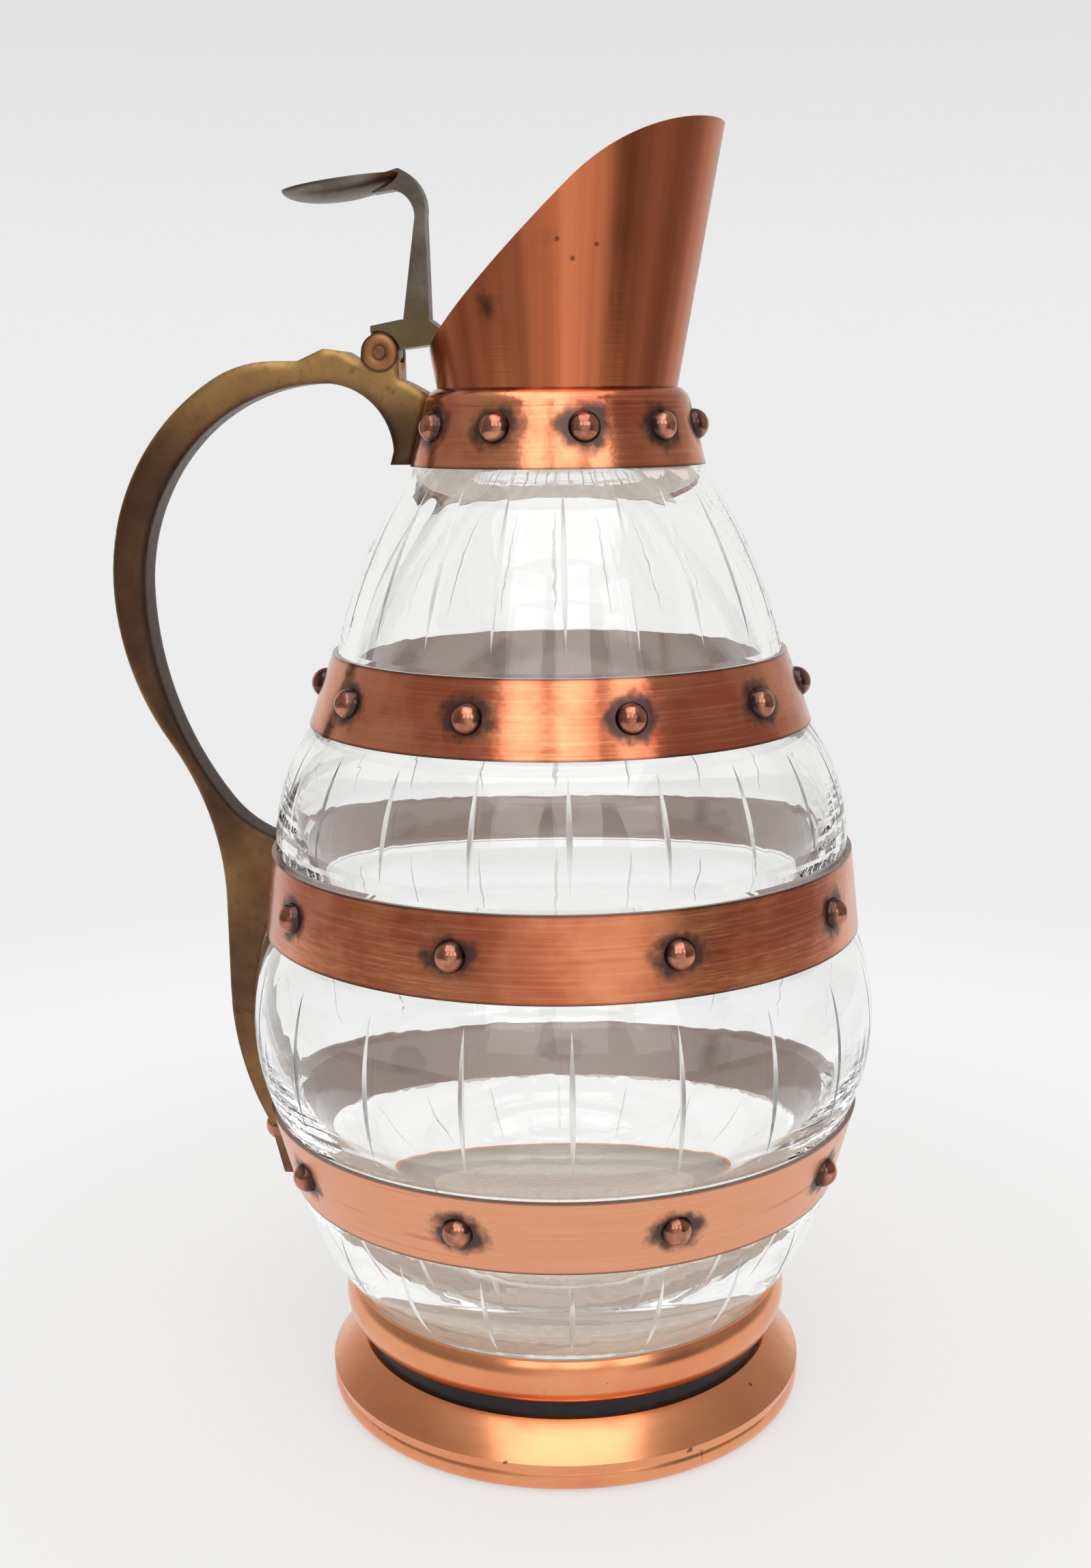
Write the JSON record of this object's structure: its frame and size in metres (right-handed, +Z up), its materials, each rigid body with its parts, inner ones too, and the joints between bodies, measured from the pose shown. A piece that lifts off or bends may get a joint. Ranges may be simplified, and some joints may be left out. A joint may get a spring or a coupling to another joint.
{
  "type": "lidded glass jug",
  "caption": "Round bellied glass jug bound with studded copper hoops, on a copper foot, with a scoop spout, a cast brass handle and a hinged lid lifted by a thumb lever.",
  "frame": {"origin": "centre of the face the foot stands on, on the axis of the glass", "axes": "+Z up along the axis of the glass, +X out of the spout, the handle on the -X side, the lid's hinge line along Y"},
  "size_m": [0.166, 0.1362, 0.2745],
  "materials": {
    "clear_glass": "clear, thick, polished, with mitre cuts",
    "copper": "satin copper with fine brush lines and tarnish round the studs",
    "copper_stud": "polished copper with dark tarnish at the edge",
    "copper_spout": "polished reddish copper",
    "copper_lid": "dull copper",
    "copper_foot": "polished copper",
    "dark_ring": "blackened",
    "brass_handle": "aged cast brass, worn bright on the edges",
    "brass_pin": "aged brass",
    "bronze_lever": "dark aged brass",
    "plaster": "matt, pale"
  },
  "bodies": {
    "jug": {"glass_body": "clear_glass", "neck_collar": "copper", "collar_studs": "copper_stud", "collar_cement": "plaster", "spout": "copper_spout", "upper_band": "copper", "upper_band_studs": "copper_stud", "middle_band": "copper", "middle_band_studs": "copper_stud", "lower_band": "copper", "lower_band_studs": "copper_stud", "foot_cup": "copper_foot", "foot_waist_ring": "dark_ring", "foot_base": "copper_foot", "foot_cement": "plaster", "handle": "brass_handle", "tail_rivet": "copper_stud", "hinge_pin": "brass_pin"},
    "lid": {"lid_plate": "copper_lid", "thumb_lever": "bronze_lever", "lid_rivets": "copper_stud"}
  },
  "joints": [
    {"name": "lid_hinge", "type": "hinge", "parent": "jug", "child": "lid", "pos_m": [-0.0369, 0, 0.2302], "axis": [0, -1, 0], "range_deg": [0, 60]}
  ]
}
